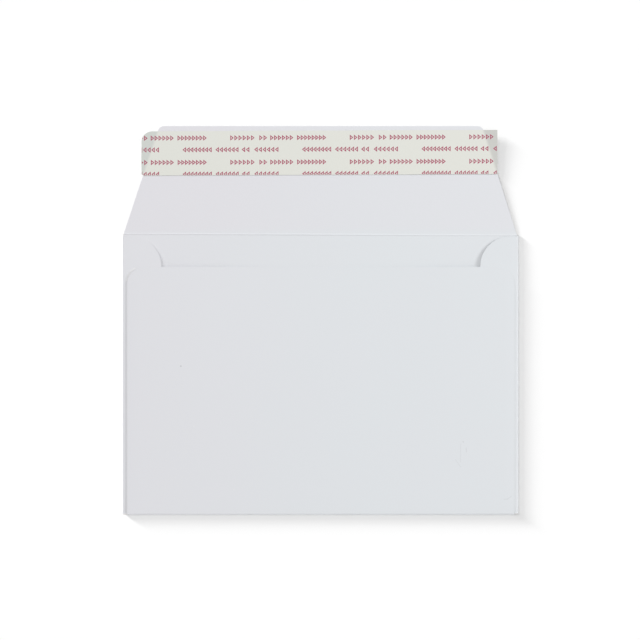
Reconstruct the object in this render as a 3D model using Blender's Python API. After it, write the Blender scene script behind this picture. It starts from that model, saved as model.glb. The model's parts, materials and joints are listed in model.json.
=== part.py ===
"""White all-board envelope with a peel-and-seal closing flap, lying open on its address side.

The pocket is one folded blank: a front panel underneath, two narrow side flaps folded over it, and
a back panel folded up from the bottom and glued to the side flaps. The closing flap hangs on the
crease and carries a strip of adhesive under a release liner.

X runs along the crease, Y from the bottom fold towards the closing flap, and Z up from the table.
The origin is the middle of the pocket's underside. Lengths are in metres.
"""

import math

import bmesh
import bpy

# The blank
BOARD = 0.0005
POCKET_WIDTH = 0.229
POCKET_HEIGHT = 0.162

# Side flaps, folded over the front panel
SIDE_FLAP_LEFT = 0.0231
SIDE_FLAP_RIGHT = 0.0222
SIDE_FLAP_CORNER = 0.018
SIDE_FLAP_SLANT = 0.003
SIDE_GAP = 0.0007
SIDE_FOLD_CLEARANCE = 0.0006

# Back panel, folded up from the bottom over the side flaps
THROAT = 0.0187
BACK_INSET_LEFT = 0.0019
BACK_INSET_RIGHT = 0.0024
BACK_CORNER = 0.010

# Seam glue between the side flaps and the back panel
GLUE = 0.0001
GLUE_FROM_FLAP_EDGE = 0.004
GLUE_FROM_BACK_SIDE = 0.003
GLUE_END_MARGIN = 0.006

# Closing flap
FLAP_DEPTH = 0.063
FLAP_TAPER = math.radians(18.7)
FLAP_CORNER = 0.0037
FLAP_LIFT = math.radians(1.2)
CREASE_GAP = 0.0003

# Release liner over a strip of adhesive, near the edge of the closing flap. The liner is cut
# square, so that its upper corners reach past the sloping sides of the flap.
LINER = 0.0001
LINER_WIDTH = 0.0255
LINER_FROM_FLAP_EDGE = 0.003
LINER_PAST_FLAP_SIDE = 0.0004
LINER_SHIFT = -0.0009
LINER_TURN = math.radians(0.24)
LINER_CORNER = 0.0006
ADHESIVE = 0.0001
ADHESIVE_INSIDE_LINER = 0.002
ADHESIVE_FROM_FLAP_SIDE = 0.0015

# Air left between sheets that lie on each other, and under the closed flap
SHEET_CLEARANCE = 0.00005
CLOSED_CLEARANCE = 0.00015

FOLD_STEPS = 8
CORNER_STEPS = 8
LARGEST_CORNER_SHARE = 0.95

BOARD_WHITE = (0.76, 0.78, 0.81)
LINER_CREAM = (0.74, 0.77, 0.71)
ADHESIVE_CLEAR = (0.80, 0.79, 0.72)
GLUE_CLEAR = (0.78, 0.76, 0.68)

crease_y = POCKET_HEIGHT / 2
half_width = POCKET_WIDTH / 2

# Heights of the sheets, from the table up
side_flap_bottom = BOARD + SIDE_GAP
side_flap_top = side_flap_bottom + BOARD
glue_bottom = side_flap_top + SHEET_CLEARANCE
back_bottom = glue_bottom + GLUE + SHEET_CLEARANCE
back_top = back_bottom + BOARD
adhesive_bottom = BOARD + SHEET_CLEARANCE
liner_bottom = adhesive_bottom + ADHESIVE + SHEET_CLEARANCE
liner_top = liner_bottom + LINER

# The folds, as the radius at the middle of the board, and the lines where they begin
side_radius = side_flap_bottom / 2
bottom_radius = back_bottom / 2
side_fold_x = half_width - side_radius - BOARD / 2
bottom_fold_y = -crease_y + bottom_radius + BOARD / 2
middle_z = BOARD / 2

# The closed flap lies over the back panel, so the crease turns about a line above the front panel
hinge_height = (back_top + CLOSED_CLEARANCE + liner_top) / 2


def start_empty():
    for old in list(bpy.data.objects):
        bpy.data.objects.remove(old, do_unlink=True)


def plain_material(name, colour, roughness):
    """A Principled material with no metal in it."""
    material = bpy.data.materials.new(name)
    material.use_nodes = True
    shader = material.node_tree.nodes["Principled BSDF"]
    shader.inputs["Base Color"].default_value = (*colour, 1)
    shader.inputs["Roughness"].default_value = roughness
    shader.inputs["Metallic"].default_value = 0
    return material


def object_from(bm, name, material):
    """Turns a bmesh into a named object with one material."""
    bmesh.ops.recalc_face_normals(bm, faces=bm.faces)
    mesh = bpy.data.meshes.new(name)
    bm.to_mesh(mesh)
    bm.free()
    mesh.materials.append(material)
    made = bpy.data.objects.new(name, mesh)
    bpy.context.collection.objects.link(made)
    return made


def round_corner(bm, corner, radius):
    """Rounds one corner of a flat sheet to an arc of this radius, as far as its edges allow."""
    sides = [edge.other_vert(corner).co - corner.co for edge in corner.link_edges]
    half_angle = sides[0].angle(sides[1]) / 2
    shortest = min(side.length for side in sides)
    bmesh.ops.bevel(
        bm,
        geom=[corner],
        offset=min(radius / math.tan(half_angle), LARGEST_CORNER_SHARE * shortest),
        offset_type="OFFSET",
        segments=CORNER_STEPS,
        profile=0.5,
        affect="VERTICES",
    )


def fold_over(bm, edge, centre, axis, reach):
    """Turns a panel's edge over by half a turn and runs on flat, returning the two far corners."""
    turned = bmesh.ops.spin(
        bm,
        geom=[edge, *edge.verts],
        cent=centre,
        axis=axis,
        angle=math.pi,
        steps=FOLD_STEPS,
        use_duplicate=False,
    )
    last = next(item for item in turned["geom_last"] if isinstance(item, bmesh.types.BMEdge))
    run = bmesh.ops.extrude_edge_only(bm, edges=[last])
    far = [item for item in run["geom"] if isinstance(item, bmesh.types.BMVert)]
    bmesh.ops.translate(bm, verts=far, vec=reach)
    return far


def front_panel(bm):
    """The face that lies on the table, returned with the edges that fold: left, right and bottom."""
    left_end = -half_width + BACK_INSET_LEFT
    right_end = half_width - BACK_INSET_RIGHT
    side_start = bottom_fold_y + SIDE_FOLD_CLEARANCE
    side_end = crease_y - CREASE_GAP / 2
    outline = [
        (left_end, bottom_fold_y),
        (right_end, bottom_fold_y),
        (side_fold_x, bottom_fold_y),
        (side_fold_x, side_start),
        (side_fold_x, side_end),
        (-side_fold_x, side_end),
        (-side_fold_x, side_start),
        (-side_fold_x, bottom_fold_y),
    ]
    points = [bm.verts.new((x, y, middle_z)) for x, y in outline]
    face = bm.faces.new(points)
    bottom, _, _, right, _, left, _, _ = face.edges
    return left, right, bottom


def make_pocket(board):
    """Front panel, side flaps and back panel as one sheet, then given the board's thickness."""
    bm = bmesh.new()
    left, right, bottom = front_panel(bm)
    sides = (
        (left, -1, SIDE_FLAP_LEFT),
        (right, 1, SIDE_FLAP_RIGHT),
    )
    for edge, side, width in sides:
        centre = (side * side_fold_x, 0, middle_z + side_radius)
        inner_edge = half_width - width
        far = fold_over(bm, edge, centre, (0, -side, 0), (side * (inner_edge - side_fold_x), 0, 0))
        low, high = sorted(far, key=lambda corner: corner.co.y)
        low.co.y += SIDE_FLAP_SLANT
        round_corner(bm, high, SIDE_FLAP_CORNER)

    centre = (0, bottom_fold_y, middle_z + bottom_radius)
    back_edge = crease_y - THROAT
    for corner in fold_over(bm, bottom, centre, (-1, 0, 0), (0, back_edge - bottom_fold_y, 0)):
        round_corner(bm, corner, BACK_CORNER)

    pocket = object_from(bm, "pocket", board)
    thickness = pocket.modifiers.new("board", "SOLIDIFY")
    thickness.thickness = BOARD
    thickness.offset = 0
    thickness.use_even_offset = True
    return pocket


def plate(name, corners, radii, thickness, material):
    """A flat sheet standing on z = 0, with each corner rounded to its own radius."""
    bm = bmesh.new()
    points = [bm.verts.new((x, y, 0)) for x, y in corners]
    bm.faces.new(points)
    for point, radius in zip(points, radii):
        if radius:
            round_corner(bm, point, radius)
    raised = bmesh.ops.extrude_face_region(bm, geom=list(bm.faces))
    top = [item for item in raised["geom"] if isinstance(item, bmesh.types.BMVert)]
    bmesh.ops.translate(bm, verts=top, vec=(0, 0, thickness))
    return object_from(bm, name, material)


def rectangle(length, width):
    """The corners of a rectangle centred on the origin."""
    x = length / 2
    y = width / 2
    return [(-x, -y), (x, -y), (x, y), (-x, y)]


def make_seam_glue(glue):
    """A strip of glue on each side flap, under the back panel."""
    low = bottom_fold_y + SIDE_FOLD_CLEARANCE + SIDE_FLAP_SLANT + GLUE_END_MARGIN
    high = crease_y - THROAT - GLUE_END_MARGIN
    sides = (
        ("left", -1, SIDE_FLAP_LEFT, BACK_INSET_LEFT),
        ("right", 1, SIDE_FLAP_RIGHT, BACK_INSET_RIGHT),
    )
    for name, side, flap_width, back_inset in sides:
        inner = half_width - flap_width + GLUE_FROM_FLAP_EDGE
        outer = half_width - back_inset - GLUE_FROM_BACK_SIDE
        corners = rectangle(outer - inner, high - low)
        strip = plate(f"seam_glue_{name}", corners, (0, 0, 0, 0), GLUE, glue)
        strip.location = (side * (inner + outer) / 2, (low + high) / 2, glue_bottom)


def make_closing_flap(board, cream, adhesive):
    """The flap with its adhesive and liner, all hung on an empty on the crease's axis.

    The pieces are laid out flat on the table, and the empty then turns them up a little, as the
    stiff crease does with an open flap.
    """
    hinge = bpy.data.objects.new("flap_hinge", None)
    hinge.location = (0, crease_y, hinge_height)
    hinge.rotation_euler.x = FLAP_LIFT
    bpy.context.collection.objects.link(hinge)

    near = CREASE_GAP / 2
    slope = math.tan(FLAP_TAPER)
    wide = half_width - slope * near
    narrow = half_width - slope * FLAP_DEPTH
    corners = [(-wide, near), (wide, near), (narrow, FLAP_DEPTH), (-narrow, FLAP_DEPTH)]
    flap = plate("closing_flap", corners, (0, 0, FLAP_CORNER, FLAP_CORNER), BOARD, board)
    flap.location.z = -hinge_height

    strip_y = FLAP_DEPTH - LINER_FROM_FLAP_EDGE - LINER_WIDTH / 2
    strip_width = LINER_WIDTH - 2 * ADHESIVE_INSIDE_LINER
    strip_end = half_width - slope * (strip_y + strip_width / 2) - ADHESIVE_FROM_FLAP_SIDE
    corners = rectangle(2 * strip_end, strip_width)
    strip = plate("flap_adhesive", corners, (0, 0, 0, 0), ADHESIVE, adhesive)
    strip.location = (0, strip_y, adhesive_bottom - hinge_height)

    liner_end = half_width - slope * (strip_y - LINER_WIDTH / 2) + LINER_PAST_FLAP_SIDE
    corners = rectangle(2 * liner_end, LINER_WIDTH)
    liner = plate("release_liner", corners, [LINER_CORNER] * 4, LINER, cream)
    liner.location = (LINER_SHIFT, strip_y, liner_bottom - hinge_height)
    liner.rotation_euler.z = LINER_TURN

    for carried in (flap, strip, liner):
        carried.parent = hinge


def main():
    start_empty()
    board = plain_material("board", BOARD_WHITE, 0.85)
    make_pocket(board)
    make_seam_glue(plain_material("seam_glue", GLUE_CLEAR, 0.35))
    make_closing_flap(
        plain_material("flap_board", BOARD_WHITE, 0.85),
        plain_material("liner", LINER_CREAM, 0.5),
        plain_material("adhesive", ADHESIVE_CLEAR, 0.2),
    )


main()
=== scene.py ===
# %% [markdown]
# # A white board envelope, open on the table
#
# The object is a peel-and-seal mailing envelope made of one die-cut sheet of solid board. The
# sheet is folded into a pocket, and its closing flap lies open and carries a strip of adhesive
# under a release liner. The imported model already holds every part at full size. This lesson
# dresses those parts: it folds a finely cut blank with a rule, gives each surface a material made
# of nodes, and sets soft light and a camera straight above.

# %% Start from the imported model
import json
import math

import bmesh
import bpy
from mathutils import Matrix, Vector


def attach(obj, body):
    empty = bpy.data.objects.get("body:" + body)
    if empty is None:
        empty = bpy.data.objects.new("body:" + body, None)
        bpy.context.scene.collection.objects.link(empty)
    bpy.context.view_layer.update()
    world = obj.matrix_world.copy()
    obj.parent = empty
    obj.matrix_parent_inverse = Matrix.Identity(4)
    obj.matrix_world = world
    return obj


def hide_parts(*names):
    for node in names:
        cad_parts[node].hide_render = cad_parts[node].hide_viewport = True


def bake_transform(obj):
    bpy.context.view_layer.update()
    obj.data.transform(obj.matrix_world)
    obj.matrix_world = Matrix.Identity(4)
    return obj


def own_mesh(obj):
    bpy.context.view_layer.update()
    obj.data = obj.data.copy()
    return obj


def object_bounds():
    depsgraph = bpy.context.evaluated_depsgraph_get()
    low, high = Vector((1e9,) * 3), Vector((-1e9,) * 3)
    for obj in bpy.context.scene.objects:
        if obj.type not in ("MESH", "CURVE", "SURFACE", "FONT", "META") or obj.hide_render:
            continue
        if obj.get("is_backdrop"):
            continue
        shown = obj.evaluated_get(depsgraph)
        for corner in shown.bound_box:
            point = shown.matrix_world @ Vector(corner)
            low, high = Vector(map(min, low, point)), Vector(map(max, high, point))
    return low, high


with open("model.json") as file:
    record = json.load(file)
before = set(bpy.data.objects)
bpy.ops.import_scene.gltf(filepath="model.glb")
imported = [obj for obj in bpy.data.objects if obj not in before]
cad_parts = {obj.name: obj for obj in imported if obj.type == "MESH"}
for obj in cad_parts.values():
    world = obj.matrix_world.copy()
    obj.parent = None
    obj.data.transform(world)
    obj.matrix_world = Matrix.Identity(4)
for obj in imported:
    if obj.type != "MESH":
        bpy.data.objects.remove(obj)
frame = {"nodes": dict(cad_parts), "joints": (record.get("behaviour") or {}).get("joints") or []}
cad_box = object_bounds()

MM = 0.001
print("parts:", sorted(frame["nodes"]))


# %% [markdown]
# ## The camera
#
# The photograph looks straight down with the crease level, so the camera needs no turn at all: a
# new Blender camera already looks along -Z with +Y up. The sheet is so thin that perspective hardly
# shows. The distance follows from the width of the picture in millimetres, which is worked out from
# the pocket's width. That is taken as 229 mm, the width of a C5 envelope.

# %% Camera straight above
LENS = 90
SENSOR = 36
PICTURE_WIDTH = 370.24 * MM
PICTURE_CENTRE = (-0.29 * MM, 31.54 * MM)
SHEET_LEVEL = 1.5 * MM

camera_data = bpy.data.cameras.new("camera")
camera_data.lens = LENS
camera_data.sensor_width = SENSOR
camera = bpy.data.objects.new("camera", camera_data)
camera_height = PICTURE_WIDTH * LENS / SENSOR + SHEET_LEVEL
camera.location = (*PICTURE_CENTRE, camera_height)
bpy.context.scene.collection.objects.link(camera)
bpy.context.scene.camera = camera
print(f"camera {camera_height:.3f} m above the table")


# %% [markdown]
# ## The sizes of the blank
#
# All sheet goods start flat. These are the lines at which the blank is creased, and the widths of
# its panels. The folds and the board are as in the solid model. The side flaps, the closing flap
# and the left edge of the back panel were measured again, and differ from it by up to 1.5 mm. The
# side flaps fold over first. The back panel then folds up from the bottom and is glued to them.
# Each fold is a half turn, and its radius at the middle of the board leaves room for what lies
# inside.

# %% Sizes of the blank
BOARD = 0.5 * MM
CREASE = 81 * MM
SIDE_LINE = 113.65 * MM
SIDE_RADIUS = 0.6 * MM
BOTTOM_LINE = -79.8 * MM
BOTTOM_RADIUS = 0.95 * MM
SIDE_FLAP_LEFT = 21.6 * MM
SIDE_FLAP_RIGHT = 21.2 * MM
SIDE_FLAP_CORNER = 17.5 * MM
SIDE_FLAP_TOP = 80 * MM
BACK_LEFT = -111.75 * MM
BACK_RIGHT = 112.1 * MM
BACK_EDGE = 62.3 * MM
BACK_CORNER = 10 * MM
FLAP_LEFT = -114.2 * MM
FLAP_RIGHT = 113.75 * MM
FLAP_LEFT_SLOPE = math.tan(math.radians(18.6))
FLAP_RIGHT_SLOPE = math.tan(math.radians(17.95))
FLAP_DEPTH = 62.67 * MM
FLAP_CORNER = 3.7 * MM

side_roll = math.pi * SIDE_RADIUS
bottom_roll = math.pi * BOTTOM_RADIUS
flap_top = CREASE + FLAP_DEPTH
back_far = BOTTOM_LINE - bottom_roll - (BACK_EDGE - BOTTOM_LINE)
print(f"the flat blank is {(flap_top - back_far) / MM:.0f} mm from end to end")


# %% [markdown]
# ## Cutting the blank
#
# Each panel is drawn as a flat outline with its own corner radii, and all panels are then sliced
# by the same set of straight cuts. Cuts lie close together where the sheet will bend and wide
# apart where it stays flat, so the mesh is fine only where that shows. Slicing all panels by the
# same planes also makes their shared edges match point for point, so that they can be welded.

# %% Outlines with rounded corners
CORNER_STEPS = 14


def rounded(corners, radii):
    """The outline of a flat panel, with each corner rounded to its own radius."""
    outline = []
    for index, radius in enumerate(radii):
        here = Vector(corners[index])
        if not radius:
            outline.append(here)
            continue
        before = (Vector(corners[index - 1]) - here).normalized()
        after = (Vector(corners[(index + 1) % len(corners)]) - here).normalized()
        half = before.angle(after) / 2
        centre = here + (before + after).normalized() * radius / math.sin(half)
        first = here + before * radius / math.tan(half) - centre
        last = here + after * radius / math.tan(half) - centre
        for step in range(CORNER_STEPS + 1):
            outline.append(centre + first.slerp(last, step / CORNER_STEPS) * radius)
    return outline


def add_panel(bm, corners, radii):
    """Adds one flat panel to the blank."""
    points = [bm.verts.new((point.x, point.y, 0)) for point in rounded(corners, radii)]
    bm.faces.new(points)


# %% Panels of the blank
SIDE_FLAP_LOW = -76.2 * MM
SIDE_FLAP_NEAR = -79.9 * MM
SIDE_LOW_RIGHT = -80.6 * MM
SIDE_LOW_LEFT = -81 * MM
SHOULDER = 0.95 * MM
SHOULDER_END = 1.7 * MM
TAB_GAP = 0.15 * MM
TAB_SLANT = 0.2 * MM


def add_side_flap(bm, side, width, low, back_end):
    """A glue flap past the fold line: slanted low end with a tab, large corner, small shoulder."""
    near = side * SIDE_LINE
    tab_end = near + side * (side_roll + SIDE_LINE - abs(back_end) - TAB_GAP)
    far = side * (SIDE_LINE + side_roll + width)
    corners = [
        (near, low),
        (tab_end, low),
        (tab_end + side * TAB_SLANT, SIDE_FLAP_NEAR),
        (far, SIDE_FLAP_LOW),
        (far, SIDE_FLAP_TOP),
        (near + side * SHOULDER_END, SIDE_FLAP_TOP),
        (near + side * SHOULDER, CREASE),
        (near, CREASE),
    ]
    radii = [0, 0, 0, 0, SIDE_FLAP_CORNER, 0, 0, 0]
    if side < 0:
        corners.reverse()
        radii.reverse()
    add_panel(bm, corners, radii)


def draw_blank():
    """All panels of the die-cut sheet, flat and not yet welded."""
    bm = bmesh.new()
    front = [
        (-SIDE_LINE, BOTTOM_LINE),
        (SIDE_LINE, BOTTOM_LINE),
        (SIDE_LINE, CREASE),
        (-SIDE_LINE, CREASE),
    ]
    left_tab = [
        (-SIDE_LINE, SIDE_LOW_LEFT),
        (BACK_LEFT, SIDE_LOW_LEFT),
        (BACK_LEFT, BOTTOM_LINE),
        (-SIDE_LINE, BOTTOM_LINE),
    ]
    right_tab = [
        (BACK_RIGHT, SIDE_LOW_RIGHT),
        (SIDE_LINE, SIDE_LOW_RIGHT),
        (SIDE_LINE, BOTTOM_LINE),
        (BACK_RIGHT, BOTTOM_LINE),
    ]
    back = [
        (BACK_LEFT, back_far),
        (BACK_RIGHT, back_far),
        (BACK_RIGHT, BOTTOM_LINE),
        (BACK_LEFT, BOTTOM_LINE),
    ]
    flap = [
        (FLAP_LEFT, CREASE),
        (FLAP_RIGHT, CREASE),
        (FLAP_RIGHT - FLAP_RIGHT_SLOPE * FLAP_DEPTH, flap_top),
        (FLAP_LEFT + FLAP_LEFT_SLOPE * FLAP_DEPTH, flap_top),
    ]
    add_panel(bm, front, [0, 0, 0, 0])
    add_panel(bm, left_tab, [0, 0, 0, 0])
    add_panel(bm, right_tab, [0, 0, 0, 0])
    add_panel(bm, back, [BACK_CORNER, BACK_CORNER, 0, 0])
    add_panel(bm, flap, [0, 0, FLAP_CORNER, FLAP_CORNER])
    add_side_flap(bm, -1, SIDE_FLAP_LEFT, SIDE_LOW_LEFT, BACK_LEFT)
    add_side_flap(bm, 1, SIDE_FLAP_RIGHT, SIDE_LOW_RIGHT, BACK_RIGHT)
    return bm


# %% Cuts where the sheet will bend
COARSE = 4 * MM
ROLL_CUTS = 10
BEND_ZONE = (80.7 * MM, 84.3 * MM)
BEND_CUTS = 18
BEAD_ZONE = (79.8 * MM, 82.2 * MM)
BEAD_CUTS = 24
WELD = 0.04 * MM


def spread(start, end, count):
    """This many equal steps from start to end, with both ends."""
    return [start + (end - start) * step / count for step in range(count + 1)]


def slice_up(bm, across, along):
    """Cuts the flat mesh at these x and y places, and welds what meets."""
    for axis, places in ((0, across), (1, along)):
        normal = Vector((0, 0, 0))
        normal[axis] = 1
        for place in sorted(set(places)):
            everything = bm.verts[:] + bm.edges[:] + bm.faces[:]
            bmesh.ops.bisect_plane(
                bm, geom=everything, plane_co=normal * place, plane_no=normal, dist=1e-7
            )
    bmesh.ops.remove_doubles(bm, verts=bm.verts, dist=WELD)


right_roll = spread(SIDE_LINE, SIDE_LINE + side_roll, ROLL_CUTS)
across = spread(-SIDE_LINE, SIDE_LINE, round(2 * SIDE_LINE / COARSE))
across += right_roll + [-place for place in right_roll]
across += spread(SIDE_LINE + side_roll, SIDE_LINE + side_roll + SIDE_FLAP_LEFT, 5)
across += spread(-SIDE_LINE - side_roll - SIDE_FLAP_LEFT, -SIDE_LINE - side_roll, 5)
across += [BACK_LEFT, BACK_RIGHT]

along = spread(back_far, BOTTOM_LINE - bottom_roll, round((BACK_EDGE - BOTTOM_LINE) / COARSE))
along += spread(BOTTOM_LINE - bottom_roll, BOTTOM_LINE, ROLL_CUTS)
along += spread(BOTTOM_LINE, BEAD_ZONE[0], round((CREASE - BOTTOM_LINE) / COARSE))
along += spread(*BEAD_ZONE, BEAD_CUTS)
along += spread(*BEND_ZONE, BEND_CUTS)
along += spread(BEND_ZONE[1], flap_top, round(FLAP_DEPTH / COARSE))
along += [SIDE_LOW_LEFT, SIDE_LOW_RIGHT, SIDE_FLAP_TOP, CREASE]

blank_bm = draw_blank()
slice_up(blank_bm, across, along)
print("blank:", len(blank_bm.faces), "faces")


# %% [markdown]
# ## Helpers for node trees
#
# Geometry Nodes and materials are both built from the same kind of parts, so one helper adds a
# node, sets its options and fills or joins its inputs. Others write a sum, a smooth rise or a bell
# shape in one line. The rest open a Geometry Nodes tree that has a named input for each size, put
# it on an object, and hand back the result as a plain mesh.

# %% Node helpers
def add(tree, kind, inputs=None, **options):
    """Adds a node. An input is given a value, or joined to another node's output."""
    made = tree.nodes.new(kind)
    for option, value in options.items():
        setattr(made, option, value)
    for place, value in (inputs or {}).items():
        if isinstance(value, bpy.types.NodeSocket):
            tree.links.new(value, made.inputs[place])
        else:
            made.inputs[place].default_value = value
    return made


def calc(tree, operation, first, second=0.0):
    """One sum on numbers or sockets, such as calc(tree, "ADD", a, b)."""
    return add(tree, "ShaderNodeMath", {0: first, 1: second}, operation=operation).outputs[0]


def smooth_step(tree, value, low, high):
    """0 below low, 1 above high, and a smooth rise between them."""
    inputs = {"Value": value, "From Min": low, "From Max": high}
    ramp = add(tree, "ShaderNodeMapRange", inputs, interpolation_type="SMOOTHSTEP")
    return ramp.outputs["Result"]


def bell(tree, off):
    """1 where off is 0, and a bell-shaped fall to nothing on both sides."""
    return calc(tree, "EXPONENT", calc(tree, "MULTIPLY", calc(tree, "MULTIPLY", off, off), -1))


# %% Geometry Nodes helpers
def geometry_tree(name, sizes):
    """A new tree with a named input for each size. Returns it with its input node."""
    tree = bpy.data.node_groups.new(name, "GeometryNodeTree")
    tree.interface.new_socket("Geometry", in_out="INPUT", socket_type="NodeSocketGeometry")
    for label in sizes:
        tree.interface.new_socket(label, in_out="INPUT", socket_type="NodeSocketFloat")
    tree.interface.new_socket("Geometry", in_out="OUTPUT", socket_type="NodeSocketGeometry")
    return tree, tree.nodes.new("NodeGroupInput")


def end_tree(tree, geometry, material):
    """Ends a tree in Realize Instances and Set Material."""
    real = add(tree, "GeometryNodeRealizeInstances", {"Geometry": geometry})
    coated = add(tree, "GeometryNodeSetMaterial", {"Geometry": real.outputs[0], "Material": material})
    add(tree, "NodeGroupOutput", {"Geometry": coated.outputs[0]})


def put_tree(piece, tree, sizes):
    """Puts the tree on a piece and fills its inputs by the sockets' identifiers."""
    modifier = piece.modifiers.new(tree.name, "NODES")
    modifier.node_group = tree
    for item in tree.interface.items_tree:
        if item.in_out == "INPUT" and item.name in sizes:
            modifier[item.identifier] = sizes[item.name]


def plain_piece(source, name):
    """A new object with the evaluated mesh of the source, which is then removed."""
    bpy.context.view_layer.update()
    evaluated = source.evaluated_get(bpy.context.evaluated_depsgraph_get())
    mesh = bpy.data.meshes.new_from_object(evaluated)
    mesh.name = name
    bpy.data.objects.remove(source)
    piece = bpy.data.objects.new(name, mesh)
    bpy.context.scene.collection.objects.link(piece)
    print(f"{name}: {len(mesh.polygons)} faces")
    return piece


def mesh_object(bm, name, materials=()):
    """A linked object from a bmesh."""
    mesh = bpy.data.meshes.new(name)
    bm.to_mesh(mesh)
    bm.free()
    for material in materials:
        mesh.materials.append(material)
    made = bpy.data.objects.new(name, mesh)
    bpy.context.scene.collection.objects.link(made)
    return made


# %% [markdown]
# ## The board's surface
#
# Solid board is matt and nearly even, with a very fine fibre in it, a faint cloudiness where the
# pulp lay thicker, a trace more warmth towards its left and on the flap, and the odd speck or
# scuff. Painted shade greys the roll of its right fold and a line beside the scored crease, and
# painted light lies on the left side flap along the back panel's upper left corner, where that
# corner casts its shadow. The fibre and the cloudiness are noise. The lines, specks and scuffs are
# worked out from distances. The material reads an attribute that remembers where each point lay on
# the flat blank, so the fibre runs on round the folds as it does on a real sheet.

# %% Board material
BOARD_COOL = (0.742, 0.773, 0.797, 1)
BOARD_WARM = (0.760, 0.752, 0.786, 1)
# Grey of the painted shade on the right fold's roll and beside the scored crease.
PAINTED_SHADE_GREY = (0.56, 0.57, 0.58, 1)
CREASE_TILT = -0.004
# Painted shade in a line beside the scored crease: offset, width, share, and fade to the right.
SCORE_SHADE_OFF = 0.32 * MM
SCORE_SHADE_WIDTH = 0.25 * MM
SCORE_SHADE_SHARE = 0.4
SCORE_SHADE_FADE = 0.25
# Painted shade on the roll of the right fold: its share, and where on the roll it rises and falls.
ROLL_SHADE_SHARE = 0.3
ROLL_SHADE_RISE = (0.25, 0.5)
ROLL_SHADE_FALL = (0.85, 1)
WARM_LEFT = 0.55
WARM_RANGE = (-115 * MM, 40 * MM)
WARM_FLAP = 0.4
FIBRE_GREY = (0.62, 0.63, 0.65, 1)
FIBRE_SHARE = 0.05
FIBRE_SIZE = 0.9 * MM
CLOUD_SIZE = 45 * MM


def new_material(name):
    """A node material, returned as its tree and its shader."""
    material = bpy.data.materials.new(name)
    material.use_nodes = True
    tree = material.node_tree
    return material, tree, tree.nodes["Principled BSDF"]


def noise(tree, place, size, detail=2.0, roughness=0.5):
    """Noise from 0 to 1 whose grains are about this size."""
    inputs = {"Vector": place, "Scale": 1 / size, "Detail": detail, "Roughness": roughness}
    return add(tree, "ShaderNodeTexNoise", inputs).outputs["Fac"]


def mix(tree, share, first, second):
    """Blends two colours by a share."""
    inputs = {"Factor": share, "A": first, "B": second}
    blend = add(tree, "ShaderNodeMix", data_type="RGBA")
    for socket in blend.inputs:
        if socket.enabled and socket.name in inputs:
            value = inputs[socket.name]
            if isinstance(value, bpy.types.NodeSocket):
                tree.links.new(value, socket)
            else:
                socket.default_value = value
    return next(socket for socket in blend.outputs if socket.enabled)


def set_rough(tree, shader, value, low, high):
    """Roughness from low to high as the value goes from 0 to 1."""
    ramp = add(tree, "ShaderNodeMapRange", {"Value": value, "To Min": low, "To Max": high})
    tree.links.new(ramp.outputs[0], shader.inputs["Roughness"])


def set_bump(tree, shader, height, strength, distance):
    """A fine relief on the surface."""
    inputs = {"Height": height, "Strength": strength, "Distance": distance}
    bump = add(tree, "ShaderNodeBump", inputs)
    tree.links.new(bump.outputs[0], shader.inputs["Normal"])


# %% Specks and scuffs, and painted light by a corner
def on_back(x, y):
    """Where a point of the folded back panel, in millimetres, lay on the flat blank."""
    return Vector((x * MM, 2 * BOTTOM_LINE - bottom_roll - y * MM, 0))


def on_left_flap(x, y):
    """Where a point of the folded left side flap, in millimetres, lay on the flat blank."""
    return Vector((-2 * SIDE_LINE - side_roll - x * MM, y * MM, 0))


def stroke_mask(tree, place, start, end, width):
    """1 on the line between two points, and a soft fall to 0 a little past half its width."""
    way = end - start
    towards = add(tree, "ShaderNodeVectorMath", {0: place, 1: start}, operation="SUBTRACT").outputs[0]
    if way.length > 0:
        shadow = add(tree, "ShaderNodeVectorMath", {0: towards, 1: way}, operation="DOT_PRODUCT")
        share = calc(tree, "DIVIDE", shadow.outputs["Value"], way.length_squared)
        share = calc(tree, "MINIMUM", calc(tree, "MAXIMUM", share, 0), 1)
        nearest = add(tree, "ShaderNodeVectorMath", {0: way}, operation="SCALE")
        tree.links.new(share, nearest.inputs["Scale"])
        inputs = {0: towards, 1: nearest.outputs[0]}
        towards = add(tree, "ShaderNodeVectorMath", inputs, operation="SUBTRACT").outputs[0]
    distance = add(tree, "ShaderNodeVectorMath", {0: towards}, operation="LENGTH").outputs["Value"]
    return calc(tree, "SUBTRACT", 1, smooth_step(tree, distance, width * 0.15, width * 0.6))


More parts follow.
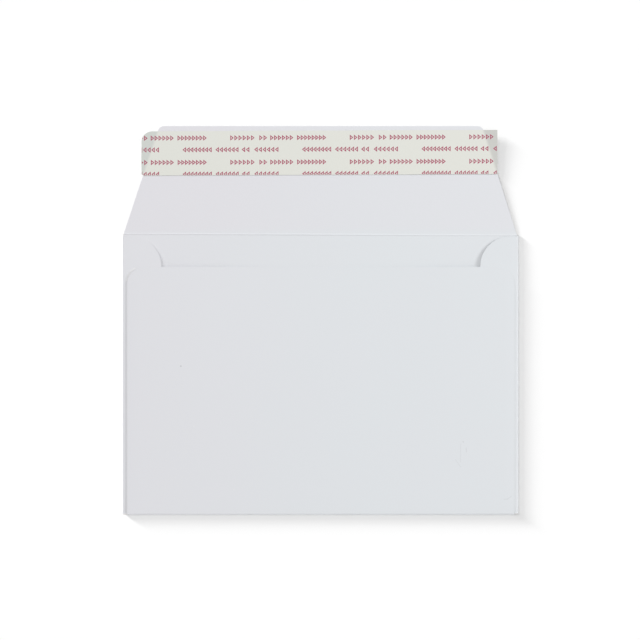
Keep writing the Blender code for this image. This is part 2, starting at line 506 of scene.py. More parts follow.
SPECKS = (
    (on_back(-80.7, 4.9), on_back(-80.7, 4.9), 0.8 * MM, 0.62),
    (on_back(82.4, -38.7), on_back(82.5, -39.0), 0.7 * MM, 0.22),
    (on_back(81.0, -40.0), on_back(81.0, -50.6), 0.5 * MM, 0.10),
    (on_back(84.2, -42.5), on_back(84.3, -44.8), 0.7 * MM, 0.12),
    (on_back(78.0, -49.2), on_back(81.0, -53.4), 0.5 * MM, 0.10),
    (on_back(106.2, -72.1), on_back(108.2, -71.9), 0.9 * MM, 0.08),
    (on_back(108.2, -71.9), on_back(110.2, -70.4), 0.6 * MM, 0.09),
)
PALE_SPECKS_AND_PAINTED_LIGHT = (
    # The first three strokes are painted light on the left side flap along the back panel's upper left
    # corner, where that corner casts its shadow. The rest are pale specks.
    (on_left_flap(-112.1, 54.6), on_left_flap(-111.0, 57.6), 1.5 * MM, 0.6),
    (on_left_flap(-111.0, 57.6), on_left_flap(-109.3, 59.8), 1.5 * MM, 0.6),
    (on_left_flap(-109.3, 59.8), on_left_flap(-107.4, 61.3), 1.5 * MM, 0.6),
    (on_back(108.9, -70.2), on_back(108.9, -70.2), 0.7 * MM, 0.3),
    (on_back(110.2, -71.8), on_back(110.2, -71.8), 0.7 * MM, 0.3),
    (on_back(-73.2, -29.8), on_back(-73.0, -29.8), 0.7 * MM, 0.5),
    (on_back(-50.0, -66.5), on_back(-50.0, -66.3), 0.7 * MM, 0.5),
    (on_back(39.6, 39.6), on_back(39.8, 39.6), 0.6 * MM, 0.5),
)
SPECK_GREY = (0.20, 0.19, 0.20, 1)
PALE_SPECK_AND_PAINTED_LIGHT = (0.86, 0.86, 0.87, 1)


def board_material():
    """Matt white solid board with fibre, cloudiness, specks and scuffs, painted shade and painted light.
    """
    material, tree, shader = new_material("solid_board")
    place = add(tree, "ShaderNodeAttribute", attribute_name="blank").outputs["Vector"]
    apart = add(tree, "ShaderNodeSeparateXYZ", {0: place})
    x = apart.outputs[0]
    y = apart.outputs[1]
    cloud = calc(tree, "MULTIPLY", noise(tree, place, CLOUD_SIZE, 3), 0.3)
    to_left = calc(tree, "SUBTRACT", 1, smooth_step(tree, x, *WARM_RANGE))
    left_warmth = calc(tree, "MULTIPLY", to_left, WARM_LEFT)
    flap_warmth = calc(tree, "MULTIPLY", smooth_step(tree, y, CREASE, CREASE + 5 * MM), WARM_FLAP)
    warmth = calc(tree, "ADD", cloud, calc(tree, "ADD", left_warmth, flap_warmth))
    colour = mix(tree, calc(tree, "MINIMUM", warmth, 1), BOARD_COOL, BOARD_WARM)
    # Painted shade greys the middle of the roll of the right fold.
    past_fold = calc(tree, "DIVIDE", calc(tree, "SUBTRACT", x, SIDE_LINE), side_roll)
    roll_shade = smooth_step(tree, past_fold, *ROLL_SHADE_RISE)
    roll_shade = calc(tree, "SUBTRACT", roll_shade, smooth_step(tree, past_fold, *ROLL_SHADE_FALL))
    colour = mix(tree, calc(tree, "MULTIPLY", roll_shade, ROLL_SHADE_SHARE), colour, PAINTED_SHADE_GREY)
    # Painted shade in a line just past the scored crease on the pocket's side, weaker to the right.
    score_shade_line = calc(tree, "ADD", calc(tree, "MULTIPLY", x, CREASE_TILT), CREASE - SCORE_SHADE_OFF)
    off_score_shade = calc(tree, "DIVIDE", calc(tree, "SUBTRACT", y, score_shade_line), SCORE_SHADE_WIDTH)
    fade = calc(tree, "MULTIPLY", smooth_step(tree, x, 0, SIDE_LINE), SCORE_SHADE_FADE)
    share = calc(tree, "SUBTRACT", SCORE_SHADE_SHARE, fade)
    colour = mix(tree, calc(tree, "MULTIPLY", bell(tree, off_score_shade), share), colour, PAINTED_SHADE_GREY)
    fibre = noise(tree, place, FIBRE_SIZE, 6, 0.65)
    dimmer = smooth_step(tree, fibre, 0.25, 0.85)
    colour = mix(tree, calc(tree, "MULTIPLY", dimmer, FIBRE_SHARE), colour, FIBRE_GREY)
    # Grey specks, then pale specks and the painted light along the back panel's upper left corner.
    for strokes, tone in ((SPECKS, SPECK_GREY), (PALE_SPECKS_AND_PAINTED_LIGHT, PALE_SPECK_AND_PAINTED_LIGHT)):
        for start, end, width, strength in strokes:
            share = calc(tree, "MULTIPLY", stroke_mask(tree, place, start, end, width), strength)
            colour = mix(tree, share, colour, tone)
    tree.links.new(colour, shader.inputs["Base Color"])
    set_rough(tree, shader, fibre, 0.78, 0.92)
    shader.inputs["Specular IOR Level"].default_value = 0.25
    grain = noise(tree, place, FIBRE_SIZE / 2, 5, 0.6)
    set_bump(tree, shader, calc(tree, "ADD", grain, fibre), 0.12, 0.05 * MM)
    return material


# %% Cut edges of the board
EDGE_PALE = (0.70, 0.69, 0.67, 1)
EDGE_GREY = (0.54, 0.52, 0.49, 1)
PLY = 0.09 * MM


def edge_material():
    """The cut edge, where the grey core and its plies show, a little rougher than the face."""
    material, tree, shader = new_material("board_edge")
    place = add(tree, "ShaderNodeTexCoord").outputs["Object"]
    flat = add(tree, "ShaderNodeMapping", {"Vector": place, "Scale": (0.15, 0.15, 1)}).outputs[0]
    plies = noise(tree, flat, PLY, 3, 0.6)
    tree.links.new(mix(tree, plies, EDGE_GREY, EDGE_PALE), shader.inputs["Base Color"])
    shader.inputs["Roughness"].default_value = 0.95
    set_bump(tree, shader, noise(tree, place, PLY, 2), 0.3, 0.04 * MM)
    return material


solid_board = board_material()
board_edge = edge_material()
print("board material:", len(solid_board.node_tree.nodes), "nodes")


# %% [markdown]
# ## Folding by a rule
#
# A fold is the same rule at every point, so Geometry Nodes fit it well. A point that lies a
# distance past the fold line first travels round an arc, and after half a turn it runs straight
# back on the level of the next sheet. The angle on the arc is the distance divided by the radius,
# held between nothing and half a turn. The same tree raises the scored bead at the crease, lets
# the middle of the back panel sink a little, presses its side edges and the upper corners of the
# side flaps down, and turns the open flap up by the angle at which the stiff crease holds it.

# %% Sizes of the fold tree
joint = frame["joints"][0]
HINGE = Vector(joint["pos_m"])
FLAP_LIFT = -math.radians(joint["range_deg"][0])
CREASE_START = CREASE - 0.2 * MM
CREASE_END = CREASE + 3.2 * MM

FOLD_SIZES = {
    "Side line": SIDE_LINE,
    "Side radius": SIDE_RADIUS,
    "Bottom line": BOTTOM_LINE,
    "Bottom radius": BOTTOM_RADIUS,
    "Board": BOARD,
    "Crease": CREASE,
    "Crease tilt": CREASE_TILT,
    "Bead height": 0.25 * MM,
    "Bead variation": 30 * MM,
    "Bead half width": 0.32 * MM,
    "Bead fade": 0.35,
    "Sag": 1.0 * MM,
    "Sag half span": 92 * MM,
    "Back edge": BACK_EDGE,
    "Left press": 0.57 * MM,
    "Right press": 0.3 * MM,
    "Corner start": 62.5 * MM,
    "Corner end": 78 * MM,
    "Side press": 0.19 * MM,
    "Press start": 109.7 * MM,
    "Press end": 112.3 * MM,
    "Hinge height": HINGE.z,
    "Lift": FLAP_LIFT,
    "Lift start": CREASE_START,
    "Lift end": CREASE_END,
}


# %% The rule for one fold
def fold(tree, past, radius):
    """For a point this far past a fold line: how far it gets, how high, and its angle."""
    angle = calc(tree, "MAXIMUM", calc(tree, "DIVIDE", past, radius), 0)
    angle = calc(tree, "MINIMUM", angle, math.pi)
    arc = calc(tree, "MULTIPLY", calc(tree, "SINE", angle), radius)
    beyond = calc(tree, "SUBTRACT", past, calc(tree, "MULTIPLY", radius, math.pi))
    beyond = calc(tree, "MAXIMUM", beyond, 0)
    before = calc(tree, "MINIMUM", past, 0)
    reach = calc(tree, "ADD", before, calc(tree, "SUBTRACT", arc, beyond))
    climb = calc(tree, "MULTIPLY", calc(tree, "SUBTRACT", 1, calc(tree, "COSINE", angle)), radius)
    return reach, climb, angle


# %% The bead, the sag, the presses and the lift of the flap
BEAD_SEED = 7.0
SAG_START = 0.3
TURNED_ANGLE = 3
PRESS_CLEAR = 8 * MM
PRESS_AT_FOLD = 0.6


def bead(tree, size, x, y, side_angle):
    """Height of the scored bead along the crease, a bell shape across its line."""
    line = calc(tree, "ADD", size["Crease"], calc(tree, "MULTIPLY", x, size["Crease tilt"]))
    off = calc(tree, "DIVIDE", calc(tree, "SUBTRACT", y, line), size["Bead half width"])
    on_front = calc(tree, "SUBTRACT", 1, calc(tree, "MINIMUM", side_angle, 1))
    along = calc(tree, "DIVIDE", x, size["Bead variation"])
    inputs = {"W": calc(tree, "ADD", along, BEAD_SEED), "Scale": 1.0, "Detail": 2.0}
    uneven = add(tree, "ShaderNodeTexNoise", inputs, noise_dimensions="1D").outputs["Fac"]
    height = calc(tree, "MULTIPLY", size["Bead height"], calc(tree, "ADD", uneven, 0.5))
    to_right = smooth_step(tree, x, 0, SIDE_LINE)
    weaker = calc(tree, "SUBTRACT", 1, calc(tree, "MULTIPLY", to_right, size["Bead fade"]))
    height = calc(tree, "MULTIPLY", height, weaker)
    return calc(tree, "MULTIPLY", calc(tree, "MULTIPLY", bell(tree, off), on_front), height)


def sag(tree, size, x, y, back_angle):
    """How far the back panel sinks between the side flaps, and is pressed down at its sides."""
    share = calc(tree, "DIVIDE", calc(tree, "ABSOLUTE", x), size["Sag half span"])
    across_share = calc(tree, "SUBTRACT", 1, smooth_step(tree, share, SAG_START, 1))
    up_share = smooth_step(tree, y, size["Bottom line"], size["Back edge"])
    turned = calc(tree, "GREATER_THAN", back_angle, TURNED_ANGLE)
    depth = calc(tree, "MULTIPLY", calc(tree, "MULTIPLY", across_share, up_share), size["Sag"])
    at_side = smooth_step(tree, calc(tree, "ABSOLUTE", x), size["Press start"], size["Press end"])
    off_fold = calc(tree, "SUBTRACT", y, size["Bottom line"])
    clear = smooth_step(tree, off_fold, 0, PRESS_CLEAR)
    press = calc(tree, "MULTIPLY", calc(tree, "MULTIPLY", at_side, clear), size["Side press"])
    return calc(tree, "MULTIPLY", calc(tree, "ADD", depth, press), turned)


def corner_press(tree, size, x, y, climb):
    """How far the upper end of a side flap and of its fold is pressed to the front panel."""
    off_fold = calc(tree, "SUBTRACT", size["Side line"], calc(tree, "ABSOLUTE", x))
    inward = smooth_step(tree, off_fold, 0, PRESS_CLEAR)
    inward = calc(tree, "MULTIPLY", inward, 1 - PRESS_AT_FOLD)
    inward = calc(tree, "ADD", inward, PRESS_AT_FOLD)
    upward = smooth_step(tree, y, size["Corner start"], size["Corner end"])
    up_roll = calc(tree, "DIVIDE", climb, calc(tree, "MULTIPLY", size["Side radius"], 2))
    on_left = calc(tree, "LESS_THAN", x, 0)
    more = calc(tree, "SUBTRACT", size["Left press"], size["Right press"])
    press = calc(tree, "ADD", size["Right press"], calc(tree, "MULTIPLY", on_left, more))
    share = calc(tree, "MULTIPLY", calc(tree, "MULTIPLY", inward, upward), up_roll)
    return calc(tree, "MULTIPLY", share, press)


def lift(tree, size, y, z):
    """Turns a point about the hinge line, fully only past the crease zone."""
    weight = smooth_step(tree, y, size["Lift start"], size["Lift end"])
    angle = calc(tree, "MULTIPLY", weight, size["Lift"])
    sine = calc(tree, "SINE", angle)
    cosine = calc(tree, "COSINE", angle)
    along = calc(tree, "SUBTRACT", y, size["Crease"])
    up = calc(tree, "SUBTRACT", z, size["Hinge height"])
    new_along = calc(tree, "MULTIPLY", along, cosine)
    new_along = calc(tree, "SUBTRACT", new_along, calc(tree, "MULTIPLY", up, sine))
    new_up = calc(tree, "MULTIPLY", along, sine)
    new_up = calc(tree, "ADD", new_up, calc(tree, "MULTIPLY", up, cosine))
    new_y = calc(tree, "ADD", new_along, size["Crease"])
    new_z = calc(tree, "ADD", new_up, size["Hinge height"])
    return new_y, new_z


# %% The fold tree
def fold_tree(material):
    """Folds a flat blank into the envelope."""
    tree, start = geometry_tree("fold_blank", FOLD_SIZES)
    size = {label: start.outputs[label] for label in FOLD_SIZES}
    flat = tree.nodes.new("GeometryNodeInputPosition").outputs[0]
    kept = add(tree, "GeometryNodeStoreNamedAttribute", data_type="FLOAT_VECTOR", domain="POINT")
    tree.links.new(start.outputs["Geometry"], kept.inputs["Geometry"])
    kept.inputs["Name"].default_value = "blank"
    value = next(socket for socket in kept.inputs if socket.name == "Value" and socket.enabled)
    tree.links.new(flat, value)

    apart = add(tree, "ShaderNodeSeparateXYZ", {0: flat})
    x = apart.outputs[0]
    y = apart.outputs[1]
    past_side = calc(tree, "SUBTRACT", calc(tree, "ABSOLUTE", x), size["Side line"])
    reach, climb, side_angle = fold(tree, past_side, size["Side radius"])
    side_x = calc(tree, "MULTIPLY", calc(tree, "ADD", reach, size["Side line"]), calc(tree, "SIGN", x))
    past_bottom = calc(tree, "SUBTRACT", size["Bottom line"], y)
    back_reach, back_climb, back_angle = fold(tree, past_bottom, size["Bottom radius"])
    back_y = calc(tree, "SUBTRACT", size["Bottom line"], back_reach)

    z = calc(tree, "ADD", climb, calc(tree, "ADD", back_climb, calc(tree, "DIVIDE", size["Board"], 2)))
    z = calc(tree, "ADD", z, bead(tree, size, x, y, side_angle))
    z = calc(tree, "SUBTRACT", z, sag(tree, size, side_x, back_y, back_angle))
    z = calc(tree, "SUBTRACT", z, corner_press(tree, size, side_x, y, climb))
    lifted_y, lifted_z = lift(tree, size, back_y, z)
    folded = add(tree, "ShaderNodeCombineXYZ", {0: side_x, 1: lifted_y, 2: lifted_z}).outputs[0]
    moved = add(tree, "GeometryNodeSetPosition", {"Geometry": kept.outputs[0], "Position": folded})
    end_tree(tree, moved.outputs[0], material)
    return tree


# %% [markdown]
# ## From sheet to board
#
# The folded sheet has no thickness yet. Solidify gives it the board's half millimetre, half to
# each side, and a second material for the cut edges. A very small bevel breaks those edges, since
# a die leaves them slightly rounded, and that is what catches the light along them.

# %% Fold the blank and give it thickness
EDGE_BREAK = 0.06 * MM
SHARP = math.radians(20)

blank = mesh_object(blank_bm, "blank", [solid_board, board_edge])
put_tree(blank, fold_tree(solid_board), FOLD_SIZES)
thickness = blank.modifiers.new("board", "SOLIDIFY")
thickness.thickness = BOARD
thickness.offset = 0
thickness.use_even_offset = True
thickness.material_offset_rim = 1
edges = blank.modifiers.new("edges", "BEVEL")
edges.width = EDGE_BREAK
edges.segments = 2
edges.limit_method = "ANGLE"
edges.angle_limit = math.radians(50)

board = plain_piece(blank, "envelope_board")
if len(board.data.materials) < 2:
    board.data.materials.append(board_edge)
board.data.shade_smooth()
board.data.set_sharp_from_angle(angle=SHARP)
rim = sum(face.material_index == 1 for face in board.data.polygons)
low = min(point.co.z for point in board.data.vertices)
high = max(point.co.z for point in board.data.vertices)
print(f"{rim} faces on cut edges, from {low / MM:.3f} to {high / MM:.3f} mm above the table")


# %% [markdown]
# ## The release liner
#
# The liner is a thin siliconed paper that protects the adhesive. It is cut square and is a little
# longer than the flap is wide there, so its ends stand free and curl up slightly. Its left end is
# a little uneven and its upper left corner is worn round. It is modelled flat in the flap's own
# plane from a sliced outline, then curled beyond the end of the adhesive, and finally turned up
# with the flap.

# %% Sizes of the liner
LINER = 0.1 * MM
LINER_LEVEL = 0.7 * MM
LINER_LEFT = -103.55 * MM
LINER_RIGHT = 102.3 * MM
LINER_LOW = 115.5 * MM
LINER_HIGH = 141.0 * MM
LINER_TURN = math.radians(0.24)
LINER_TOP_LEFT = 6.2 * MM
LINER_LOW_LEFT = 1.2 * MM
LINER_SQUARE = 0.4 * MM
ADHESIVE_INSIDE = 1.5 * MM
CURL_HEIGHT = 0.32 * MM
CURL_REACH = 9 * MM
WAVE_RADIUS = 6 * MM
END_ZONE = (80 * MM, 104 * MM)
LINER_MIDDLE = Vector((0, (LINER_LOW + LINER_HIGH) / 2, 0))


def past_flap(x, y):
    """How far a place lies outside the flap's sloping sides, and less than 0 inside."""
    up = y - CREASE
    return max(FLAP_LEFT + FLAP_LEFT_SLOPE * up - x, x - FLAP_RIGHT + FLAP_RIGHT_SLOPE * up)


def lifted(point):
    """Turns a point of the flat flap up about the hinge line."""
    return HINGE + Matrix.Rotation(FLAP_LIFT, 3, "X") @ (point - HINGE)


def curl(x, y):
    """How far the liner stands off the flap at this place."""
    share = (past_flap(x, y) + ADHESIVE_INSIDE) / CURL_REACH
    share = min(max(share, 0), 1)
    return CURL_HEIGHT * share * share


def on_flap(x, y, above):
    """Where a place on the flat liner ends up, this far above the liner's underside."""
    turn = Matrix.Rotation(LINER_TURN, 3, "Z")
    flat = LINER_MIDDLE + turn @ (Vector((x, y, 0)) - LINER_MIDDLE)
    flat.z = LINER_LEVEL + above + curl(flat.x, flat.y)
    return lifted(flat)


# %% The liner's sheet
def draw_liner():
    """The liner's outline, sliced fine enough to curl."""
    bm = bmesh.new()
    wave = [
        (LINER_LEFT, LINER_HIGH),
        (LINER_LEFT + 0.15 * MM, LINER_HIGH - 9 * MM),
        (LINER_LEFT - 0.1 * MM, LINER_HIGH - 16 * MM),
        (LINER_LEFT, LINER_LOW),
    ]
    corners = wave + [(LINER_RIGHT, LINER_LOW), (LINER_RIGHT, LINER_HIGH)]
    radii = [LINER_TOP_LEFT, WAVE_RADIUS, WAVE_RADIUS, LINER_LOW_LEFT, LINER_SQUARE, LINER_SQUARE]
    add_panel(bm, corners, radii)
    near_ends = spread(*END_ZONE, 24)
    across = spread(-END_ZONE[0], END_ZONE[0], 20) + near_ends + [-place for place in near_ends]
    slice_up(bm, across, spread(LINER_LOW, LINER_HIGH, 14))
    return bm


def place_liner(bm):
    """Turns the liner a little on the flap, curls its ends, and lifts it with the flap."""
    for point in bm.verts:
        point.co = on_flap(point.co.x, point.co.y, LINER / 2)


# %% [markdown]
# ## The liner's material
#
# Release paper is thin and slightly greenish, with a soft sheen from the silicone. Where board
# backs it, it looks almost as white as the board. Where it hangs over the edge of the flap, light
# goes through it, so it looks darker and greyer: its colour there holds painted shade, and at the
# right end, under which the table lies in shadow, a darker painted shadow. The mask for that is the
# sloping side of the flap, worked out from the place on the object, with a soft edge.

# %% Liner material
LINER_PAPER = (0.765, 0.768, 0.716, 1)
# Painted shade for the overhanging ends, the right one darker as painted shadow.
LINER_LEFT_END_SHADE = (0.628, 0.653, 0.619, 1)
LINER_RIGHT_END_SHADOW = (0.603, 0.603, 0.574, 1)
LINER_GRAIN = (0.60, 0.62, 0.56, 1)
EDGE_THROUGH_PAPER = (-1.15 * MM, 1.0 * MM)


def liner_material():
    """Thin siliconed paper, with painted shade where no board lies under it."""
    material, tree, shader = new_material("release_paper")
    place = add(tree, "ShaderNodeTexCoord").outputs["Object"]
    apart = add(tree, "ShaderNodeSeparateXYZ", {0: place})
    x = apart.outputs[0]
    up_flap = calc(tree, "SUBTRACT", apart.outputs[1], CREASE)
    left_side = calc(tree, "ADD", FLAP_LEFT, calc(tree, "MULTIPLY", up_flap, FLAP_LEFT_SLOPE))
    right_side = calc(tree, "SUBTRACT", FLAP_RIGHT, calc(tree, "MULTIPLY", up_flap, FLAP_RIGHT_SLOPE))
    past_left = calc(tree, "SUBTRACT", left_side, x)
    past_right = calc(tree, "SUBTRACT", x, right_side)
    past = calc(tree, "MAXIMUM", past_left, past_right)
    soft_paper = noise(tree, place, 0.7 * MM, 5, 0.6)
    cloudy = noise(tree, place, 14 * MM, 3)
    tone = calc(tree, "MULTIPLY", calc(tree, "ADD", soft_paper, cloudy), 0.05)
    colour = mix(tree, tone, LINER_PAPER, LINER_GRAIN)
    # Painted shade where the paper hangs past the flap, darker at the right end.
    painted_end_shade = mix(tree, calc(tree, "GREATER_THAN", x, 0), LINER_LEFT_END_SHADE, LINER_RIGHT_END_SHADOW)
    colour = mix(tree, smooth_step(tree, past, *EDGE_THROUGH_PAPER), colour, painted_end_shade)
    tree.links.new(colour, shader.inputs["Base Color"])
    set_rough(tree, shader, soft_paper, 0.42, 0.55)
    shader.inputs["Specular IOR Level"].default_value = 0.35
    set_bump(tree, shader, calc(tree, "ADD", soft_paper, cloudy), 0.15, 0.05 * MM)
    return material


# %% Make the liner
release_paper = liner_material()
liner_bm = draw_liner()
place_liner(liner_bm)
liner_sheet = mesh_object(liner_bm, "liner_sheet", [release_paper])
liner_thickness = liner_sheet.modifiers.new("paper", "SOLIDIFY")
liner_thickness.thickness = LINER
liner_thickness.offset = 0
liner = plain_piece(liner_sheet, "release_liner_sheet")
liner.data.shade_smooth()
liner.data.set_sharp_from_angle(angle=SHARP)


# %% [markdown]
# ## The print on the liner
#
# Release liners are printed all over with a repeated run of small marks, here in crimson, in rows
# that alternately stand upright and upside down. One mark is a small open arrowhead. A Geometry
# Nodes tree lays marks out in groups, repeats the groups along a row and the rows across the
# liner, and turns every second row. The result is then cut along the liner's edges, as the real
# print is by the guillotine, and laid on the paper.

# %% Sizes of the print
MARK_HEIGHT = 3.1 * MM
MARK_WIDTH = 2.0 * MM
STROKE = 0.45 * MM
INK_THICKNESS = 0.02 * MM
ROW_PITCH = 7.03 * MM
RUN_PITCH = 69.1 * MM
RUNS = 4
GROUPS = (
    (0.0 * MM, 6, 2.40 * MM),
    (16.8 * MM, 2, 2.45 * MM),
    (23.1 * MM, 6, 2.26 * MM),
    (38.6 * MM, 8, 2.12 * MM),
)
INK_CRIMSON = (0.375, 0.040, 0.098, 1)
INK_THIN = (0.52, 0.14, 0.23, 1)


# %% Ink material
def ink_material():
    """Thin crimson ink that lets the paper's grain through."""
    material, tree, shader = new_material("crimson_ink")
    place = add(tree, "ShaderNodeTexCoord").outputs["Object"]
    grain = noise(tree, place, 0.35 * MM, 4, 0.7)
    colour = mix(tree, calc(tree, "MULTIPLY", grain, 0.35), INK_CRIMSON, INK_THIN)
    tree.links.new(colour, shader.inputs["Base Color"])
    set_rough(tree, shader, grain, 0.45, 0.65)
    return material


crimson_ink = ink_material()


# %% One mark
def arrowhead_sheet():
    """A flat open arrowhead as the tree's seed mesh, centred on the row's line."""
    bm = bmesh.new()
    half = MARK_HEIGHT / 2
    slant = math.atan2(half, MARK_WIDTH)
    inner_tip = MARK_WIDTH - STROKE / math.sin(slant)
    inner_half = half * (1 - STROKE / MARK_WIDTH) - STROKE / math.cos(slant)
    outer = [(0, -half), (MARK_WIDTH, 0), (0, half)]
    inner = [(STROKE, -inner_half), (inner_tip, 0), (STROKE, inner_half)]
    rim = [bm.verts.new((x, y, 0)) for x, y in outer]
    hole = [bm.verts.new((x, y, 0)) for x, y in inner]
    for here in range(3):
        after = (here + 1) % 3
        bm.faces.new([rim[here], rim[after], hole[after], hole[here]])
    return mesh_object(bm, "arrowhead")


# %% The print tree
PRINT_SIZES = {
    "Run pitch": RUN_PITCH,
    "Row pitch": ROW_PITCH,
    "Ink": INK_THICKNESS,
}


def line_of(tree, count, step_socket):
    """Points in a row, one step apart."""
    offset = add(tree, "ShaderNodeCombineXYZ", {0: step_socket}).outputs[0]
    line = add(tree, "GeometryNodeMeshLine", {"Count": count, "Offset": offset})
    return line.outputs[0]


def instances(tree, points, item):
    """The item on each point."""
    made = add(tree, "GeometryNodeInstanceOnPoints", {"Points": points, "Instance": item})
    return made.outputs[0]


def moved_by(tree, geometry, along=0.0, up=0.0, turn=0.0):
    """Geometry moved along the row and across it, and turned in its plane."""
    inputs = {"Geometry": geometry, "Translation": (along, up, 0), "Rotation": (0, 0, turn)}
    return add(tree, "GeometryNodeTransform", inputs).outputs[0]


def print_tree(material):
    """Rows of grouped marks, every second row upside down."""
    tree, start = geometry_tree("liner_print", PRINT_SIZES)
    mark = start.outputs["Geometry"]
    groups = tree.nodes.new("GeometryNodeJoinGeometry")
    for begin, count, pitch in GROUPS:
        marks = instances(tree, line_of(tree, count, pitch), mark)
        tree.links.new(moved_by(tree, marks, begin), groups.inputs[0])
    row = instances(tree, line_of(tree, RUNS, start.outputs["Run pitch"]), groups.outputs[0])
    rows = tree.nodes.new("GeometryNodeJoinGeometry")
    for number, (first, turned) in enumerate(PRINT_ROWS):
        line = moved_by(tree, row, first, TURNED_RISE, math.pi) if turned else moved_by(tree, row, first)
        drop = calc(tree, "MULTIPLY", start.outputs["Row pitch"], -number)
        place = add(tree, "ShaderNodeCombineXYZ", {1: drop}).outputs[0]
        lowered = add(tree, "GeometryNodeTransform", {"Geometry": line, "Translation": place})
        tree.links.new(lowered.outputs[0], rows.inputs[0])
    real = add(tree, "GeometryNodeRealizeInstances", {"Geometry": rows.outputs[0]})
    inputs = {"Mesh": real.outputs[0], "Offset Scale": start.outputs["Ink"], "Individual": False}
    thick = add(tree, "GeometryNodeExtrudeMesh", inputs)
    under = add(tree, "GeometryNodeFlipFaces", {"Mesh": real.outputs[0]})
    closed = tree.nodes.new("GeometryNodeJoinGeometry")
    tree.links.new(thick.outputs[0], closed.inputs[0])
    tree.links.new(under.outputs[0], closed.inputs[0])
    inputs = {"Geometry": closed.outputs[0], "Distance": 0.001 * MM}
    welded = add(tree, "GeometryNodeMergeByDistance", inputs)
    end_tree(tree, welded.outputs[0], material)
    return tree


# %% Lay the print on the paper
FIRST_ROW_Y = 137.05 * MM
PRINT_ROWS = (
    (-121.2 * MM, False),
    (113.85 * MM, True),
    (-121.2 * MM, False),
    (113.85 * MM, True),
)
TURNED_RISE = 0.25 * MM
PRINT_MARGIN = 0.15 * MM
TOP_CUT = math.radians(158)
LOW_CUT = math.radians(225)


def corner_plane(y, radius, angle):
    """A plane a margin inside a rounded left corner, square to this direction from its centre."""
    outward = Vector((math.cos(angle), math.sin(angle), 0))
    return Vector((LINER_LEFT + radius, y, 0)) + outward * (radius - PRINT_MARGIN), outward


def cut_print(mesh):
    """Cuts the print along the liner's edges and corners and closes the cuts."""
    bm = bmesh.new()
    bm.from_mesh(mesh)
    planes = (
        ((LINER_LEFT + 2 * PRINT_MARGIN, 0, 0), (-1, 0, 0)),
        ((LINER_RIGHT - PRINT_MARGIN, 0, 0), (1, 0, 0)),
        ((0, LINER_LOW + PRINT_MARGIN, 0), (0, -1, 0)),
        corner_plane(LINER_HIGH - LINER_TOP_LEFT, LINER_TOP_LEFT, TOP_CUT),
        corner_plane(LINER_LOW + LINER_LOW_LEFT, LINER_LOW_LEFT, LOW_CUT),
    )
    for point, normal in planes:
        everything = bm.verts[:] + bm.edges[:] + bm.faces[:]
        cut = bmesh.ops.bisect_plane(
            bm, geom=everything, plane_co=point, plane_no=normal, clear_outer=True
        )
        rim = [item for item in cut["geom_cut"] if isinstance(item, bmesh.types.BMEdge)]
        bmesh.ops.holes_fill(bm, edges=rim)
    bm.to_mesh(mesh)
    bm.free()


def lay_print(mesh):
    """Turns the print with the liner and lays it on the curled paper."""
    for point in mesh.vertices:
        point.co = on_flap(point.co.x, point.co.y, LINER + point.co.z)


seed = arrowhead_sheet()
put_tree(seed, print_tree(crimson_ink), PRINT_SIZES)
liner_print = plain_piece(seed, "liner_print")
liner_print.data.transform(Matrix.Translation((0, FIRST_ROW_Y, 0)))
cut_print(liner_print.data)
lay_print(liner_print.data)
print("print:", len(liner_print.data.polygons), "faces after the cut")


# %% [markdown]
# ## Adhesive and seam glue
#
# The pressure-sensitive strip and the two seams of glue are simple thin solids whose shape is
# right as it stands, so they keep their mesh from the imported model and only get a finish. The
# strip is clear and tacky with a slight ripple. The glue is dried and duller, with a cloudy white
# where it lies thick.

# %% Adhesive and glue materials
ADHESIVE_CLEAR = (0.80, 0.79, 0.72, 1)
ADHESIVE_DULL = (0.74, 0.73, 0.65, 1)
GLUE_PALE = (0.80, 0.78, 0.70, 1)
GLUE_DULL = (0.70, 0.67, 0.56, 1)


def adhesive_material():
    """Clear tacky adhesive with a rippled gloss."""
    material, tree, shader = new_material("clear_adhesive")
    place = add(tree, "ShaderNodeTexCoord").outputs["Object"]
    ripple = noise(tree, place, 2.5 * MM, 3, 0.5)
    colour = mix(tree, ripple, ADHESIVE_CLEAR, ADHESIVE_DULL)
    tree.links.new(colour, shader.inputs["Base Color"])
    shader.inputs["Roughness"].default_value = 0.18
    set_bump(tree, shader, ripple, 0.4, 0.1 * MM)
    return material


def glue_material():
    """Dried seam glue, dull and a little cloudy."""
    material, tree, shader = new_material("seam_glue")
    place = add(tree, "ShaderNodeTexCoord").outputs["Object"]
    cloudy = noise(tree, place, 4 * MM, 4, 0.6)
    colour = mix(tree, cloudy, GLUE_PALE, GLUE_DULL)
    tree.links.new(colour, shader.inputs["Base Color"])
    set_rough(tree, shader, cloudy, 0.3, 0.6)
    set_bump(tree, shader, cloudy, 0.3, 0.1 * MM)
    return material


def paint(node, material):
    """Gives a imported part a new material."""
    slots = frame["nodes"][node].data.materials
    slots.clear()
    slots.append(material)


paint("flap_adhesive", adhesive_material())
glue = glue_material()
paint("seam_glue_left", glue)
paint("seam_glue_right", glue)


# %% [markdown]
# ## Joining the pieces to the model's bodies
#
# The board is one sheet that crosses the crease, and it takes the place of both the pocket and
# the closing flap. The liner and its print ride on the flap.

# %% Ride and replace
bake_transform(board)
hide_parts("pocket", "closing_flap")

for piece in (liner, liner_print):
    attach(piece, "flap")
    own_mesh(piece)
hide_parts("release_liner")


# %% [markdown]
# ## Table and light
#
# The sheet lies on a plain white table in a bright even room, which gives about half of the light
# and darkens only the narrow corners under the sheets. Two groups of soft lights are added, with
# levels fitted to the photograph. The first lights only the object: a low key from the right that
# draws the step at the right side flap, a weaker light from the left for the other one, and a
# near one above the flap, so that the sheet is a trace brighter at its top. Two faint low ones
# without a shadow keep the rolls of the folds light. The second group lights only the table,
# mostly from the upper left and low, and gives the soft drop shadow to the lower right. One of
# its lights isn't blocked by the thin liner and its print.

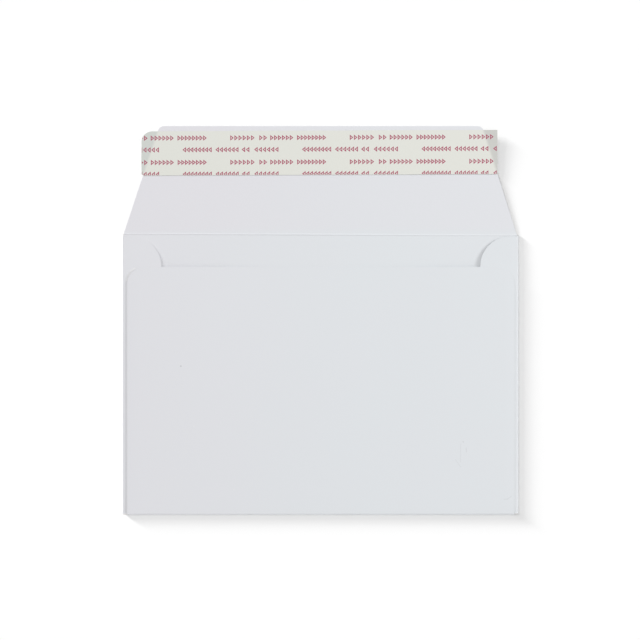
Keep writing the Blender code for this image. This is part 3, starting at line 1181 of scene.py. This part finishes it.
# %% Table
TABLE_WHITE = (0.90, 0.90, 0.90)
TABLE_SIZE = 6.0
TABLE_DROP = 0.02 * MM

table_bm = bmesh.new()
bmesh.ops.create_grid(table_bm, x_segments=1, y_segments=1, size=TABLE_SIZE / 2)
bmesh.ops.translate(table_bm, verts=table_bm.verts, vec=(0, 0, -TABLE_DROP))
table_material, _, table_shader = new_material("table")
table_shader.inputs["Base Color"].default_value = (*TABLE_WHITE, 1)
table_shader.inputs["Roughness"].default_value = 0.9
table_shader.inputs["Specular IOR Level"].default_value = 0.0
table = mesh_object(table_bm, "table", [table_material])
table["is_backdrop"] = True

# %% Light groups
table_only = bpy.data.collections.new("lit_table")
table_only.objects.link(table)
all_but_table = bpy.data.collections.new("lit_object")
all_but_table.objects.link(table)
all_but_table.collection_objects[0].light_linking.link_state = "EXCLUDE"
all_but_liner = bpy.data.collections.new("shades_table")
for number, piece in enumerate((liner, liner_print)):
    all_but_liner.objects.link(piece)
    all_but_liner.collection_objects[number].light_linking.link_state = "EXCLUDE"


def direction(azimuth, elevation):
    """Towards a light: azimuth 0 is from the right, 90 from the top of the picture."""
    turn = math.radians(azimuth)
    rise = math.radians(elevation)
    return Vector((math.cos(turn) * math.cos(rise), math.sin(turn) * math.cos(rise), math.sin(rise)))


def place_light(data, towards, distance, receivers):
    """Links a light that shines from this direction onto the middle of the sheet."""
    light = bpy.data.objects.new(data.name, data)
    light.location = towards * distance
    light.rotation_mode = "QUATERNION"
    light.rotation_quaternion = towards.to_track_quat("Z", "Y")
    light.light_linking.receiver_collection = receivers
    bpy.context.scene.collection.objects.link(light)
    return light


def add_sun(name, azimuth, elevation, spread_angle, level, receivers, shadow=True):
    """A soft distant light that adds this much light on a level sheet."""
    data = bpy.data.lights.new(name, "SUN")
    data.use_shadow = shadow
    data.angle = math.radians(spread_angle)
    data.energy = level * math.pi / math.sin(math.radians(elevation))
    return place_light(data, direction(azimuth, elevation), 1, receivers)


def add_panel_light(name, azimuth, elevation, distance, width, level, receivers):
    """A round soft box at a finite distance, so that it falls off across the sheet."""
    data = bpy.data.lights.new(name, "AREA")
    data.shape = "DISK"
    data.size = width
    data.energy = level * math.pi**2 * distance**2 / math.sin(math.radians(elevation))
    place_light(data, direction(azimuth, elevation), distance, receivers)


# %% Lights
add_panel_light("key_right", 19, 21, 3.2, 1.0, 0.226, all_but_table)
add_sun("fill_left", 147, 36, 22, 0.158, all_but_table)
add_panel_light("above_flap", 90, 55, 1.2, 0.8, 0.062, all_but_table)
add_sun("low_front", 270, 5, 6, 0.028, all_but_table, shadow=False)
add_sun("low_left", 180, 6, 6, 0.022, all_but_table, shadow=False)
add_sun("table_low", 146, 9, 8, 0.167, table_only)
add_sun("table_middle", 146, 17, 9, 0.115, table_only)
through_paper = add_sun("table_high", 146, 50, 24, 0.212, table_only)
through_paper.light_linking.blocker_collection = all_but_liner
add_sun("table_overhead", 90, 88, 10, 0.125, table_only)

world = bpy.data.worlds.new("room")
world.use_nodes = True
background = world.node_tree.nodes["Background"]
background.inputs["Color"].default_value = (1, 1, 1, 1)
background.inputs["Strength"].default_value = 0.50
bpy.context.scene.world = world
bpy.context.scene.view_settings.view_transform = "Standard"
bpy.context.scene.view_settings.look = "None"


# %% [markdown]
# ## The two boxes
#
# The sizes of the imported model's box and of the dressed object's box are printed.

# %% Write the boxes and finish
visual_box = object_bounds()
for name, (low_corner, high_corner) in (("model", cad_box), ("dressed", visual_box)):
    print(name, [round(high / MM - low / MM, 2) for low, high in zip(low_corner, high_corner)], "mm")
